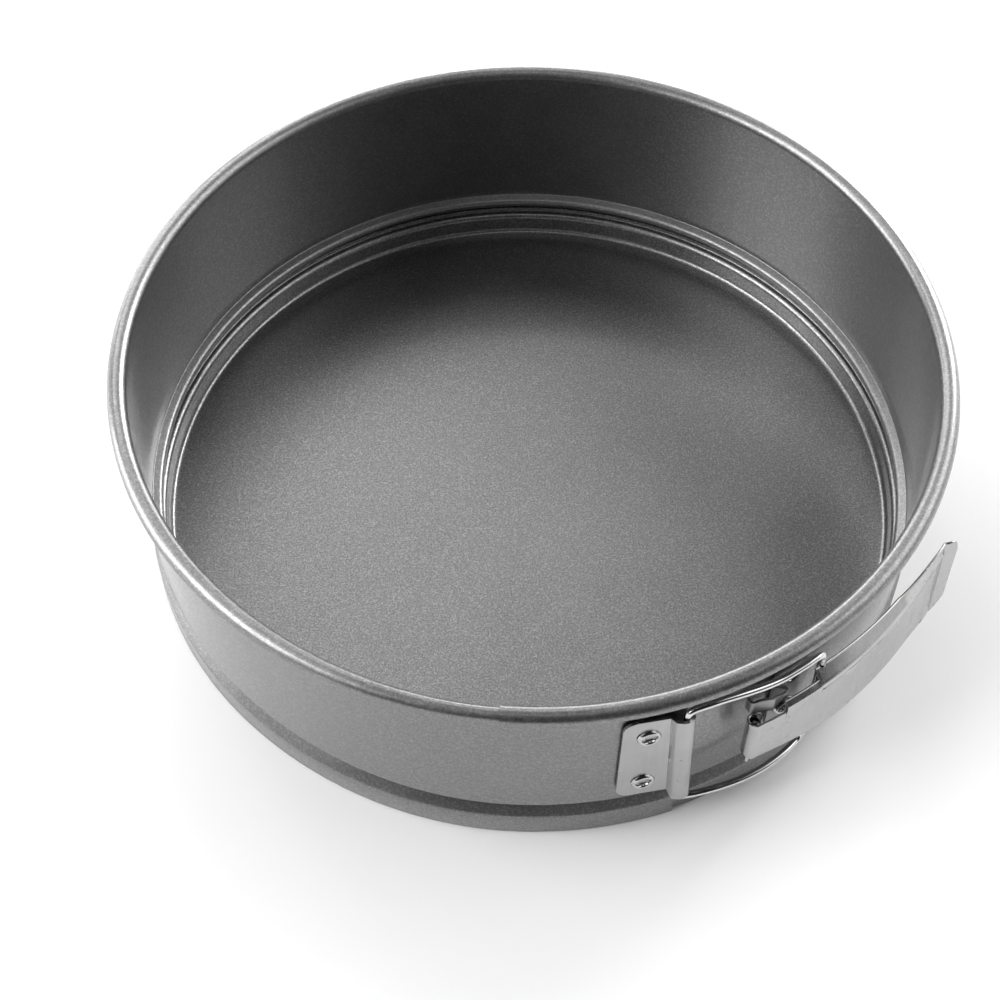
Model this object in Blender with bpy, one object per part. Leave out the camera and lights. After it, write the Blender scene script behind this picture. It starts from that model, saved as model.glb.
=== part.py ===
"""Springform pan: a loose base plate, a sprung band that opens at an overlap, and an over-centre lever latch.

Metres, +Z up. The pan's axis is the Z axis, the base plate's underside is at z = 0, and the latch side is -Y.
Angles round the pan are "bearings" in degrees: 0 is the middle of the overlap (-Y), and they grow towards +X.
"""

import math

import bmesh
import bpy
from mathutils import Matrix, Vector

MM = 0.001

# Band: one strip of sheet steel, drawn as a centre line in (radius, height)
SHEET = 0.5 * MM
WALL_RADIUS = 114.55 * MM
RIM_TOP = 68.0 * MM
RIM_TUBE = 2.5 * MM
RIM_CURL_END = -112.0
SKIRT_RADIUS = 115.4 * MM
SKIRT_BOTTOM = 0.4 * MM
SKIRT_TOP = 8.3 * MM
BEAD_RADIUS = 111.55 * MM
BEAD_BEND = 1.3 * MM
BEAD_HEIGHT = 12.8 * MM
WALL_BOTTOM = 15.0 * MM
CORNER_BEND = 0.6 * MM

# The overlap: the right end runs inside the left end, which is set out by LAYER there
LAYER = 0.85 * MM
OVERLAP_HALF = 12.0
LAYER_FADE = 38.0
FLEX_BEARING = 90.0
FLEX_RADIUS = 117.6 * MM
FLEX_GAP = 0.2
BAND_STEPS = 20
REAR_STEPS = 30

# Base plate
BASE_SHEET = 1.0 * MM
FLOOR_RADIUS = 110.8 * MM
SHOULDER_RADIUS = 111.7 * MM
SHOULDER_RISE = 6.6 * MM
FLANGE_RADIUS = 113.6 * MM
FLANGE_BEND = 0.9 * MM
FLANGE_LIP = 1.2 * MM
BASE_STEPS = 60

# Latch hardware, all pressed from one gauge of sheet
LATCH_SHEET = 0.8 * MM
CLEARANCE = 0.3 * MM

CATCH_START = 3.2
CATCH_CORNER = 9.2
CATCH_BOTTOM = 14.9 * MM
CATCH_TOP = 57.5 * MM
CATCH_ROUND = 4.0 * MM
KNUCKLE_BEARING = 11.0
KNUCKLE_RADIAL = 117.0 * MM
KNUCKLE_RADIUS = 3.0 * MM

BAIL_BEARING = 11.0
BAIL_RADIUS = 118.2 * MM
BAIL_WIRE = 1.0 * MM
BAIL_BOTTOM = 13.5 * MM
BAIL_TOP = 60.0 * MM
BAIL_BEND = 2.5 * MM
BAIL_ARC_RADIUS = 120.6 * MM
HOOK_BEARING = 30.3

PIN_BEARING = 20.6
PIN_RADIAL = 121.0 * MM
PIN_RADIUS = 1.05 * MM
PIN_HEAD = 1.8 * MM
PIN_HEAD_HEIGHT = 0.7 * MM
CURL_RADIUS = 1.85 * MM

HINGE_START = 23.2
HINGE_END = 31.0
HINGE_BOTTOM = 29.0 * MM
HINGE_TOP = 55.5 * MM

LEVER_BOTTOM = 29.0 * MM
LEVER_TOP = 52.3 * MM
LEVER_LOW_TOP = 47.5 * MM
LEVER_CREASE = 48.2 * MM
LEVER_CREASE_RISE = 1.6 * MM
LEVER_STEP = 24.4
LEVER_HORN = 28.7
LEVER_FLARE = 1.3 * MM
LEVER_TILT = 1.0 * MM
LEVER_FOLD = 55.2
TAB_BEARING = 57.3
TAB_RADIUS = 127.2 * MM
TAB_BOTTOM = 38.0 * MM
FOLD_WIDTH = 1.3 * MM
FLANGE_INNER = 119.4 * MM
FLANGE_INNER_END = 122.8 * MM
LOW_FLANGE = 2.6 * MM
NOTCH_HALF = 1.4 * MM
CURL_TURN = 265.0

RIVET_SHANK = 1.2 * MM
RIVET_HEAD = 3.1 * MM
RIVET_RISE = 1.0 * MM
RIVET_SIDES = 16
HOLE_REACH = 6.0 * MM
CATCH_RIVET_BEARING = 6.6
HINGE_RIVET_BEARING = 27.6
RIVET_LOW = 25.4 * MM
RIVET_HIGH = 49.2 * MM
HINGE_RIVET_LOW = 33.5 * MM

COATING = (0.105, 0.107, 0.112)
BASE_COATING = (0.115, 0.117, 0.122)
PLATED = (0.74, 0.74, 0.73)
WIRE_PLATED = (0.70, 0.70, 0.70)


def material(name, colour, roughness, metallic):
    made = bpy.data.materials.new(name)
    made.use_nodes = True
    shader = made.node_tree.nodes["Principled BSDF"]
    shader.inputs["Base Color"].default_value = (*colour, 1)
    shader.inputs["Roughness"].default_value = roughness
    shader.inputs["Metallic"].default_value = metallic
    return made


def around(bearing, radius):
    """The point (x, y) at a bearing in degrees and a radius."""
    angle = math.radians(bearing)
    return Vector((radius * math.sin(angle), -radius * math.cos(angle)))


def arc(centre, radius, start, end, steps):
    """Points from the start angle to the end angle, in degrees, both included."""
    points = []
    for step in range(steps + 1):
        angle = math.radians(start + (end - start) * step / steps)
        points.append(Vector((centre[0] + radius * math.cos(angle), centre[1] + radius * math.sin(angle))))
    return points


def rounded(corners, steps=3):
    """A path through (x, y, bend radius) corners, each corner with a radius replaced by a tangent arc."""
    path = []
    for index, (x, y, bend) in enumerate(corners):
        here = Vector((x, y))
        if bend == 0 or index in (0, len(corners) - 1):
            path.append(here)
            continue
        back = (Vector(corners[index - 1][:2]) - here).normalized()
        ahead = (Vector(corners[index + 1][:2]) - here).normalized()
        half = back.angle(ahead) / 2
        centre = here + (back + ahead).normalized() * (bend / math.sin(half))
        reach = bend / math.tan(half)
        start = here + back * reach - centre
        turn = start.angle_signed(here + ahead * reach - centre)
        for step in range(steps + 1):
            spun = start.copy()
            spun.rotate(Matrix.Rotation(-turn * step / steps, 2))
            path.append(centre + spun)
    return path


def offset(path, distance):
    """The open path moved sideways, to its right for a positive distance."""
    moved = []
    for index, here in enumerate(path):
        before = (here - path[max(index - 1, 0)]).normalized()
        after = (path[min(index + 1, len(path) - 1)] - here).normalized()
        before = before if index > 0 else after
        after = after if index < len(path) - 1 else before
        along = (before + after).normalized()
        across = Vector((along.y, -along.x))
        moved.append(here + across * (distance / max(along.dot(after), 0.2)))
    return moved


def thick(path, thickness):
    """The closed outline of a sheet whose middle follows the path."""
    return offset(path, thickness / 2) + offset(path, -thickness / 2)[::-1]


def finish(name, mesh, look):
    """Links a bmesh as a named object, with its faces turned outwards."""
    bmesh.ops.recalc_face_normals(mesh, faces=mesh.faces)
    data = bpy.data.meshes.new(name)
    mesh.to_mesh(data)
    mesh.free()
    data.materials.append(look)
    made = bpy.data.objects.new(name, data)
    bpy.context.scene.collection.objects.link(made)
    return made


def sweep(name, sections, bearings, look):
    """A closed solid through (radius, height) outlines stood up at the bearings, with a cap at each end."""
    rings = []
    for outline, bearing in zip(sections, bearings):
        rings.append([(*around(bearing, radius), height) for radius, height in outline])
    return skin(name, rings, look)


def ribbon(name, path, sections, look):
    """A closed solid along a plan path, from (offset, height) sections; offsets are to the path's right."""
    rings = []
    for here, moved, section in zip(path, offset(path, 1), sections):
        rings.append([(*(here + (moved - here) * out), height) for out, height in section])
    return skin(name, rings, look)


def skin(name, rings, look):
    """A closed solid through rings of points, with a cap at each end."""
    mesh = bmesh.new()
    made = [[mesh.verts.new(point) for point in ring] for ring in rings]
    for ring, other in zip(made, made[1:]):
        for index in range(len(ring)):
            after = (index + 1) % len(ring)
            mesh.faces.new((ring[index], ring[after], other[after], other[index]))
    mesh.faces.new(made[0])
    mesh.faces.new(made[-1])
    return finish(name, mesh, look)


def turned(name, outline, steps, look):
    """A solid of revolution about Z, from an open (radius, height) outline with both ends on the axis."""
    mesh = bmesh.new()
    rings = []
    for radius, height in outline:
        if radius < 1e-7:
            rings.append([mesh.verts.new((0, 0, height))] * steps)
            continue
        ring = []
        for step in range(steps):
            ring.append(mesh.verts.new((*around(360 * step / steps, radius), height)))
        rings.append(ring)
    for ring, other in zip(rings, rings[1:]):
        for index in range(steps):
            after = (index + 1) % steps
            corners = dict.fromkeys((ring[index], ring[after], other[after], other[index]))
            mesh.faces.new(tuple(corners))
    return finish(name, mesh, look)


def prism(name, outline, bottom, top, look):
    mesh = bmesh.new()
    low = [mesh.verts.new((*point, bottom)) for point in outline]
    high = [mesh.verts.new((*point, top)) for point in outline]
    mesh.faces.new(low)
    mesh.faces.new(high)
    for index in range(len(outline)):
        after = (index + 1) % len(outline)
        mesh.faces.new((low[index], low[after], high[after], high[index]))
    return finish(name, mesh, look)


def combine(target, other, operation):
    """Adds or cuts a helper solid, which is then hidden."""
    change = target.modifiers.new(other.name, "BOOLEAN")
    change.operation = operation
    change.solver = "EXACT"
    change.object = other
    other.hide_render = True
    other.display_type = "WIRE"


def set_origin(made, point):
    """Moves an object's origin to a world point, and leaves its shape where it is."""
    made.data.transform(Matrix.Translation(-point))
    made.location = point


def band_centre_line():
    """(radius, height) points from the skirt's lower edge up to the end of the rim's curl."""
    tip_x = BEAD_RADIUS + BEAD_BEND
    wall = (WALL_RADIUS, WALL_BOTTOM)
    run = Vector((wall[0] - tip_x, wall[1] - BEAD_HEIGHT))
    tangent = math.degrees(math.atan2(run.y, run.x) + math.acos(BEAD_BEND / run.length))
    tip = arc((tip_x, BEAD_HEIGHT), BEAD_BEND, 270, tangent, 6)
    skirt = [(SKIRT_RADIUS, SKIRT_BOTTOM, 0), (SKIRT_RADIUS, SKIRT_TOP, CORNER_BEND), (*tip[0], 0)]
    below = rounded(skirt, 2)
    rim_centre = (WALL_RADIUS + RIM_TUBE, RIM_TOP - RIM_TUBE - SHEET / 2)
    curl = arc(rim_centre, RIM_TUBE, 180, RIM_CURL_END, 10)
    above = rounded([(*tip[-1], 0), (*wall, CORNER_BEND), (*curl[0], 0)], 2)
    return below[:-1] + tip[:-1] + above[:-1] + curl


def band_section(set_out):
    """The band's outline, with its centre line set out towards the outer layer."""
    return thick(offset(band_centre_line(), set_out), SHEET)


def layer_at(bearing):
    """How far the left piece is set out: fully in the overlap, fading to nothing before the flex line."""
    share = min(max((bearing + OVERLAP_HALF + LAYER_FADE) / LAYER_FADE, 0), 1)
    return LAYER * share * share * (3 - 2 * share)


def between(start, end, steps):
    return [start + (end - start) * step / steps for step in range(steps + 1)]


def band_left():
    bearings = between(FLEX_GAP / 2 - FLEX_BEARING, OVERLAP_HALF, BAND_STEPS)
    sections = [band_section(layer_at(bearing)) for bearing in bearings]
    made = sweep("band_left", sections, bearings, material("band_left", COATING, 0.42, 0.3))
    drill(made, "band_left", CATCH_RIVET_BEARING, RIVET_LOW)
    set_origin(made, Vector((*around(-FLEX_BEARING, FLEX_RADIUS), 0)))


def band_right():
    bearings = between(-OVERLAP_HALF, FLEX_BEARING - FLEX_GAP / 2, BAND_STEPS)
    sections = [band_section(0)] * len(bearings)
    made = sweep("band_right", sections, bearings, material("band_right", COATING, 0.42, 0.3))
    drill(made, "band_right", HINGE_RIVET_BEARING, HINGE_RIVET_LOW)
    set_origin(made, Vector((*around(FLEX_BEARING, FLEX_RADIUS), 0)))


def band_rear():
    bearings = between(FLEX_BEARING + FLEX_GAP / 2, 360 - FLEX_BEARING - FLEX_GAP / 2, REAR_STEPS)
    sections = [band_section(0)] * len(bearings)
    sweep("band_rear", sections, bearings, material("band_rear", COATING, 0.42, 0.3))


def base_plate():
    middle = BASE_SHEET / 2
    path = rounded(
        [
            (0, middle, 0),
            (FLOOR_RADIUS, middle, 1.0 * MM),
            (SHOULDER_RADIUS, middle + SHOULDER_RISE, 1.3 * MM),
            (FLANGE_RADIUS + FLANGE_BEND / 2, middle + SHOULDER_RISE, FLANGE_BEND),
            (FLANGE_RADIUS + FLANGE_BEND / 2, middle + SHOULDER_RISE + FLANGE_LIP, 0),
        ]
    )
    turned("base_plate", thick(path, BASE_SHEET), BASE_STEPS, material("base_plate", BASE_COATING, 0.5, 0.3))


def drill(target, name, bearing, low):
    """Cuts the two rivet holes at a bearing: one at a low height and one at the upper rivets' height."""
    for height in (low, RIVET_HIGH):
        hole = [(RIVET_SHANK + CLEARANCE, -HOLE_REACH, HOLE_REACH)]
        cutter = rivet_solid(f"{name}_hole_{height / MM:.0f}", hole, None)
        stand_at(cutter, bearing, WALL_RADIUS, height)
        combine(target, cutter, "DIFFERENCE")


def rivet_solid(name, steps, look):
    """A stack of (radius, bottom, top) cylinders along Z, as one turned solid."""
    outline = [(0, steps[0][1])]
    for radius, bottom, top in steps:
        outline += [(radius, bottom), (radius, top)]
    outline.append((0, steps[-1][2]))
    look = look or material(name, PLATED, 0.3, 1)
    return turned(name, outline, RIVET_SIDES, look)


def stand_at(made, bearing, radius, height):
    """Turns local Z to point straight out of the wall, with the origin at the given radius."""
    outward = Vector((*around(bearing, 1), 0))
    spin = Vector((0, 0, 1)).rotation_difference(outward).to_matrix().to_4x4()
    place = Vector((*around(bearing, radius), height))
    made.matrix_world = Matrix.Translation(place) @ spin


def rivet(name, bearing, height, plate_face, wall_inside, tail):
    """A dimpled rivet: head outside the plate, shank through plate and wall, tail flush or headed inside."""
    shank_end = wall_inside - plate_face
    foot = CLEARANCE
    outline = [(0, shank_end), (RIVET_SHANK, shank_end)]
    if tail:
        outline = [
            (0, shank_end - tail - CLEARANCE),
            (RIVET_HEAD, shank_end - tail - CLEARANCE),
            (RIVET_HEAD, shank_end - CLEARANCE),
            (RIVET_SHANK, shank_end - CLEARANCE),
        ]
    outline += [(RIVET_SHANK, foot), (RIVET_HEAD, foot), (RIVET_HEAD, foot + RIVET_RISE * 0.35)]
    outline += [(RIVET_HEAD * 0.72, foot + RIVET_RISE), (RIVET_HEAD * 0.45, foot + RIVET_RISE)]
    outline += [(RIVET_HEAD * 0.3, foot + RIVET_RISE * 0.5), (0, foot + RIVET_RISE * 0.5)]
    made = turned(name, outline, RIVET_SIDES, material(name, PLATED, 0.3, 1))
    stand_at(made, bearing, plate_face, height)


def catch_bracket():
    """The plate riveted to the left end, and the round knuckle that the bail turns in."""
    plate = WALL_RADIUS + LAYER + SHEET / 2 + CLEARANCE + LATCH_SHEET / 2
    rounding = math.degrees(CATCH_ROUND / plate)
    corner = [CATCH_START + rounding * (1 - math.cos(math.radians(15 * step))) for step in range(1, 7)]
    path = [around(bearing, plate) for bearing in [CATCH_START + 0.01] + corner + [7.0, CATCH_CORNER]]
    centre = around(KNUCKLE_BEARING, KNUCKLE_RADIAL)
    knuckle = arc(centre, KNUCKLE_RADIUS, KNUCKLE_BEARING - 180, KNUCKLE_BEARING, 12)
    foot = around(KNUCKLE_BEARING - math.degrees(KNUCKLE_RADIUS / plate), plate)
    path += rounded([(*path[-1], 0), (*foot, 0.4 * MM), (*knuckle[0], 0)])[1:-1] + knuckle
    sections = []
    for index in range(len(path)):
        turn = math.radians(15 * min(index, 6))
        inset = CATCH_ROUND * (1 - math.sin(turn))
        sections.append(upright(CATCH_BOTTOM + inset, CATCH_TOP - inset))
    made = ribbon("catch_bracket", path, sections, material("catch_bracket", PLATED, 0.25, 1))
    drill(made, "catch_bracket", CATCH_RIVET_BEARING, RIVET_LOW)


def upright(bottom, top):
    """The section of a plain sheet standing between two heights."""
    half = LATCH_SHEET / 2
    return [(half, bottom), (half, top), (-half, top), (-half, bottom)]


def catch_rivets():
    wall_inside = WALL_RADIUS + LAYER - SHEET / 2
    plate_face = WALL_RADIUS + LAYER + SHEET / 2 + CLEARANCE + LATCH_SHEET
    rivet("catch_rivet_lower", CATCH_RIVET_BEARING, RIVET_LOW, plate_face, wall_inside, 0)
    rivet("catch_rivet_upper", CATCH_RIVET_BEARING, RIVET_HIGH, plate_face, wall_inside, 0)


def pin_centre():
    return around(PIN_BEARING, PIN_RADIAL)


def hinge_bracket():
    """The plate riveted to the right piece, with an ear that curls round the pin above the lever's low end."""
    plate = WALL_RADIUS + SHEET / 2 + CLEARANCE + LATCH_SHEET / 2
    flat = [around(bearing, plate) for bearing in between(HINGE_END, HINGE_START, 4)]
    centre = pin_centre()
    knuckle = arc(centre, CURL_RADIUS, PIN_BEARING - 20, PIN_BEARING - 290, 12)
    path = flat + knuckle
    look = material("hinge_bracket", PLATED, 0.3, 1)
    made = prism("hinge_bracket", thick(flat, LATCH_SHEET), HINGE_BOTTOM, HINGE_TOP, look)
    ear = prism("hinge_ear", thick(path, LATCH_SHEET), LEVER_LOW_TOP + 0.5 * MM, HINGE_TOP, look)
    combine(made, ear, "UNION")
    drill(made, "hinge_bracket", HINGE_RIVET_BEARING, HINGE_RIVET_LOW)


def hinge_rivets():
    wall_inside = WALL_RADIUS - SHEET / 2
    plate_face = WALL_RADIUS + SHEET / 2 + CLEARANCE + LATCH_SHEET
    rivet("hinge_rivet_lower", HINGE_RIVET_BEARING, HINGE_RIVET_LOW, plate_face, wall_inside, 0.6 * MM)
    rivet("hinge_rivet_upper", HINGE_RIVET_BEARING, RIVET_HIGH, plate_face, wall_inside, 0.6 * MM)


def hinge_pin():
    bottom = HINGE_BOTTOM - CLEARANCE
    top = HINGE_TOP + CLEARANCE
    steps = [(PIN_HEAD, bottom - PIN_HEAD_HEIGHT, bottom), (PIN_RADIUS, bottom, top)]
    steps.append((PIN_HEAD, top, top + PIN_HEAD_HEIGHT))
    made = rivet_solid("hinge_pin", steps, None)
    made.location = (*pin_centre(), 0)


def lever_share(bearing):
    """How far along the lever a bearing is: 0 at the pin and 1 at the fold of the tab."""
    return min(max((bearing - PIN_BEARING) / (LEVER_FOLD - PIN_BEARING), 0), 1)


def lever_front(bearing):
    """Radius of the lever's middle surface: the lever flares out slowly from the wall."""
    return PIN_RADIAL + CURL_RADIUS + LEVER_FLARE * lever_share(bearing) ** 2


def lever_plain(bottom, top):
    """The lever's section where it has no flange, round the curl and at the tab's tip."""
    edge = LATCH_SHEET / 2
    return thick([Vector((0, height)) for height in (bottom, bottom + edge, top - edge, top)], LATCH_SHEET)


def lever_pressed(bearing, width):
    """The pressed section: a lower flange, a front that leans out at its foot, and a sloping upper flange."""
    share = lever_share(bearing)
    foot = LEVER_BOTTOM + LATCH_SHEET / 2
    crease = LEVER_CREASE + LEVER_CREASE_RISE * share
    lean = LEVER_TILT * share
    top = crease + min(width, LEVER_TOP - crease)
    path = [(lean - LOW_FLANGE, foot), (lean, foot), (0, crease), (-width, top)]
    return thick([Vector(point) for point in path], LATCH_SHEET)


def lever_stations():
    """(plan point, section) pairs: the curl round the pin, the long front, and the tab that is turned out."""
    outward = PIN_BEARING - 90
    curl = arc(pin_centre(), CURL_RADIUS, outward - CURL_TURN, outward, 12)
    plain = lever_plain(LEVER_BOTTOM, LEVER_LOW_TOP)
    stations = [(point, plain) for point in curl]
    for bearing in (21.6, 23.0, LEVER_STEP):
        stations.append((around(bearing, lever_front(bearing)), plain))
    for bearing in (LEVER_STEP + 0.2, 26.5, LEVER_HORN):
        stations.append((around(bearing, lever_front(bearing)), lever_pressed(bearing, FOLD_WIDTH)))
    for bearing in between(LEVER_HORN + 0.1, LEVER_FOLD, 14):
        inner = FLANGE_INNER + (FLANGE_INNER_END - FLANGE_INNER) * lever_share(bearing)
        front = lever_front(bearing)
        stations.append((around(bearing, front), lever_pressed(bearing, front - inner)))
    stations.append((around(TAB_BEARING, TAB_RADIUS), lever_plain(TAB_BOTTOM, LEVER_TOP)))
    return stations


def latch_lever():
    """A pressed lever, with a notch in each flange that the bail sits in."""
    path, sections = zip(*lever_stations())
    made = ribbon("latch_lever", list(path), sections, material("latch_lever", PLATED, 0.2, 1))
    degree = math.degrees(1 / BAIL_ARC_RADIUS)
    deep = BAIL_ARC_RADIUS + NOTCH_HALF
    left = HOOK_BEARING - NOTCH_HALF * degree
    right = HOOK_BEARING + NOTCH_HALF * degree
    slot = [around(left, FLANGE_INNER - 2 * MM), around(left, deep - 0.5 * MM), around(left + 0.3, deep)]
    slot += [around(right - 0.3, deep), around(right, deep - 0.5 * MM), around(right, FLANGE_INNER - 2 * MM)]
    look = material("lever_notches", PLATED, 0.2, 1)
    cutter = prism("lever_notches", slot, LEVER_BOTTOM - 1 * MM, LEVER_TOP + 2 * MM, look)
    combine(made, cutter, "DIFFERENCE")
    set_origin(made, Vector((*pin_centre(), 0)))


def wire_bail():
    """A closed loop of wire from the catch knuckle, round both sides of the lever, to the lever's notches."""
    start = Vector((*around(BAIL_BEARING, BAIL_RADIUS), 0))
    end = Vector((*around(HOOK_BEARING, BAIL_ARC_RADIUS), 0))
    count = 8
    bearings = between(BAIL_BEARING, HOOK_BEARING, count)[1:-1]
    legs = []
    for index, bearing in enumerate(bearings):
        share = min((index + 1) / 3, 1)
        radius = BAIL_RADIUS + (BAIL_ARC_RADIUS - BAIL_RADIUS) * share
        legs.append(Vector((*around(bearing, radius), 0)))
    lower = [start + Vector((0, 0, BAIL_BOTTOM + BAIL_BEND))]
    lower += bend_down(start, legs[0], BAIL_BOTTOM, 1)
    lower += [point + Vector((0, 0, BAIL_BOTTOM)) for point in legs[1:-1]]
    lower += bend_down(end, legs[-1], BAIL_BOTTOM, 1)[::-1]
    upper = bend_down(end, legs[-1], BAIL_TOP, -1)
    upper += [point + Vector((0, 0, BAIL_TOP)) for point in legs[1:-1][::-1]]
    upper += bend_down(start, legs[0], BAIL_TOP, -1)[::-1]
    points = lower[1:] + upper
    data = bpy.data.curves.new("wire_bail", "CURVE")
    data.dimensions = "3D"
    data.bevel_depth = BAIL_WIRE
    data.bevel_resolution = 2
    spline = data.splines.new("POLY")
    spline.points.add(len(points) - 1)
    for slot, point in zip(spline.points, points):
        slot.co = (*(point - start), 1)
    spline.use_cyclic_u = True
    data.materials.append(material("wire_bail", WIRE_PLATED, 0.2, 1))
    made = bpy.data.objects.new("wire_bail", data)
    bpy.context.scene.collection.objects.link(made)
    made.location = start


def bend_down(corner, towards, height, up):
    """A quarter bend from the vertical leg at the corner into the leg that runs towards the next point."""
    along = (towards - corner).normalized() * BAIL_BEND
    rise = Vector((0, 0, up * BAIL_BEND))
    base = corner + Vector((0, 0, height))
    points = []
    for step in range(5):
        angle = math.radians(90 * step / 4)
        points.append(base + rise * (1 - math.sin(angle)) + along * (1 - math.cos(angle)))
    return points


def main():
    for old in list(bpy.data.objects):
        bpy.data.objects.remove(old)
    base_plate()
    band_rear()
    band_left()
    band_right()
    catch_bracket()
    catch_rivets()
    wire_bail()
    hinge_bracket()
    hinge_rivets()
    hinge_pin()
    latch_lever()


main()
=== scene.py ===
"""Springform pan: the detailed pieces, finishes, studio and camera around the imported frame.

Metres, +Z up, the pan's axis is Z and the base's underside is at z = 0. Angles round the pan are
"bearings" in degrees: 0 is the middle of the band's overlap (-Y), and they grow towards +X.
"""

import math

import bmesh
import bpy
from mathutils import Matrix, Vector

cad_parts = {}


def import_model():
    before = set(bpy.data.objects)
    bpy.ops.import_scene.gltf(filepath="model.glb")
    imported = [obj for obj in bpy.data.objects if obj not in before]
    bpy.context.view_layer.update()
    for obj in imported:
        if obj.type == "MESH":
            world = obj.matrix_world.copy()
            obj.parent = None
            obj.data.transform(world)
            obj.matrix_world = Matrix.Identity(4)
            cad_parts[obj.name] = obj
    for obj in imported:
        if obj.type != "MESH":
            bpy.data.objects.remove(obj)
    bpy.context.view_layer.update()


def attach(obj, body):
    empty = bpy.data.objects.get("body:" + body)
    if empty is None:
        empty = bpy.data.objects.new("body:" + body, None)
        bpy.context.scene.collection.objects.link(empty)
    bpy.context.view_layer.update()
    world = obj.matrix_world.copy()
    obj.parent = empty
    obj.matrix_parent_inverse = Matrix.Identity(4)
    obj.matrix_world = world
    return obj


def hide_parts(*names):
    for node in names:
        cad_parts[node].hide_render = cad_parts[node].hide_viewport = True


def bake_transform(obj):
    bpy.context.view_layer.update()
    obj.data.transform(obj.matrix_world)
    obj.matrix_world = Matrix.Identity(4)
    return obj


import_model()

MM = 0.001

# Band
SHEET = 0.5 * MM
WALL_RADIUS = 114.55 * MM
RIM_TOP = 68.0 * MM
RIM_TUBE = 2.5 * MM
RIM_CURL_END = -4.0
RIM_STEPS = 30
RIM_NEST = 0.55 * MM
RIM_JOIN = 60.0 * MM
SKIRT_RADIUS = 115.4 * MM
SKIRT_BOTTOM = 0.4 * MM
SKIRT_TOP = 8.3 * MM
BEAD_RADIUS = 111.55 * MM
BEAD_BEND = 1.3 * MM
BEAD_HEIGHT = 12.8 * MM
WALL_BOTTOM = 14.6 * MM
CORNER_BEND = 0.6 * MM
LAYER = 0.85 * MM
OVERLAP_HALF = 12.0
LAYER_FADE = 38.0
FLEX_RADIUS = 117.6 * MM

# Base plate
BASE_SHEET = 1.0 * MM
FLOOR_RADIUS = 110.8 * MM
FLOOR_BEND = 2.0 * MM
SHOULDER_RADIUS = 111.7 * MM
SHOULDER_RISE = 6.6 * MM
SHOULDER_BEND = 1.3 * MM
FLANGE_RADIUS = 113.6 * MM
FLANGE_BEND = 0.9 * MM
FLANGE_LIP = 1.2 * MM

# Latch
LATCH_SHEET = 0.8 * MM
CLEARANCE = 0.3 * MM
CATCH_START = 3.4
CATCH_CORNER = 9.9
KNUCKLE_SLANT = 0.05
SLANT_STATIONS = 7
LATCH_MIDDLE = 36.0 * MM
CATCH_BOTTOM = 14.9 * MM
CATCH_TOP = 57.2 * MM
PLATE_BOTTOM = 18.2 * MM
PLATE_RADIUS = 116.7 * MM
PLATE_END_RADIUS = 117.4 * MM
CATCH_ROUND = 4.0 * MM
BAIL_BEARING = 11.3
BAIL_RADIUS = 118.5 * MM
BAIL_WIRE = 1.0 * MM
BAIL_BOTTOM = 13.5 * MM
BAIL_TOP = 60.2 * MM
BAIL_BOW = 2.0 * MM
BAIL_STRAIGHT = 3.0
BAIL_SLOPE = 11.0
BAIL_BEND = 2.5 * MM
BAIL_ARC_RADIUS = 119.2 * MM
HOOK_BEARING = 31.1
BAIL_TOP_END = 57.8 * MM
PIN_BEARING = 20.6
PIN_RADIAL = 121.0 * MM
PIN_RADIUS = 1.05 * MM
PIN_BOTTOM = 28.7 * MM
PIN_TOP = 44.4 * MM
PIN_TAIL = 24.6 * MM
PIN_TAIL_RADIUS = 0.6 * MM
PIN_CHAMFER = 0.2 * MM
PIN_TAIL_CHAMFER = 0.15 * MM
CURL_RADIUS = 1.85 * MM
CURL_TURN = 265.0
HINGE_START = 23.2
HINGE_END = 31.0
HINGE_BOTTOM = 29.0 * MM
HINGE_TOP = 53.0 * MM
EAR_BOTTOM = 48.0 * MM
EAR_TOP = 53.8 * MM
EAR_DROP = 5.0 * MM
EAR_BACK_DROP = 1.2 * MM
PLATE_CORNER = 1.7
LEVER_BOTTOM = 29.0 * MM
LEVER_TOP = 52.3 * MM
LEVER_LOW_TOP = 46.0 * MM
LEVER_CREASE = 48.2 * MM
LEVER_CREASE_RISE = 1.6 * MM
LEVER_STEP = 24.4
LEVER_HORN = 29.8
LEVER_FLARE = 1.3 * MM
LEVER_END_FLARE = 0.5 * MM
LEVER_LEAN = 1.25 * MM
LEVER_END_LEAN = 0.55 * MM
LEVER_FOLD = 54.8
LEVER_MIDDLE = 41.0 * MM
FOLD_SLANT = 0.2315
TAB_LENGTH = 4.6 * MM
TAB_TURN = 36.0
TAB_CUT = 5.0 * MM
TAB_ROUND = 2.2 * MM
FOLD_WIDTH = 1.3 * MM
FLANGE_INNER = 119.8 * MM
FLANGE_INNER_MIDDLE = 121.5 * MM
FLANGE_INNER_END = 124.4 * MM
FLANGE_TURN = 45.5
LOW_FLANGE = 2.6 * MM
GROOVE_DEPTH = 0.75 * MM
GROOVE_END = 51.6
NOTCH_HALF = 1.4 * MM
RAISED_END = 0.25 * MM
LEAN_START = 46.0
FLANGE_FADE = 50.0
THIN_FLANGE = 0.05 * MM
RIVET_SHANK = 1.2 * MM
RIVET_HEAD = 3.1 * MM
CATCH_RIVET_BEARING = 6.85
HINGE_RIVET_BEARING = 27.6
RIVET_LOW = 25.4 * MM
RIVET_HIGH = 49.2 * MM
HINGE_RIVET_LOW = 33.5 * MM

# Folded outlines seen from above, as corners of (bearing, radius in mm, bend in mm)
KNUCKLE_CORNERS = ((10.4, 119.2, 0.5), (11.6, 120.2, 2.6), (12.6, 119.4, 1.0), (12.8, 117.3, 0))
EAR_CORNERS = ((26.4, 118.6, 0.7), (22.9, 121.0, 0.45), (20.3, 119.3, 1.0), (20.2, 117.2, 0))

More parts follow.
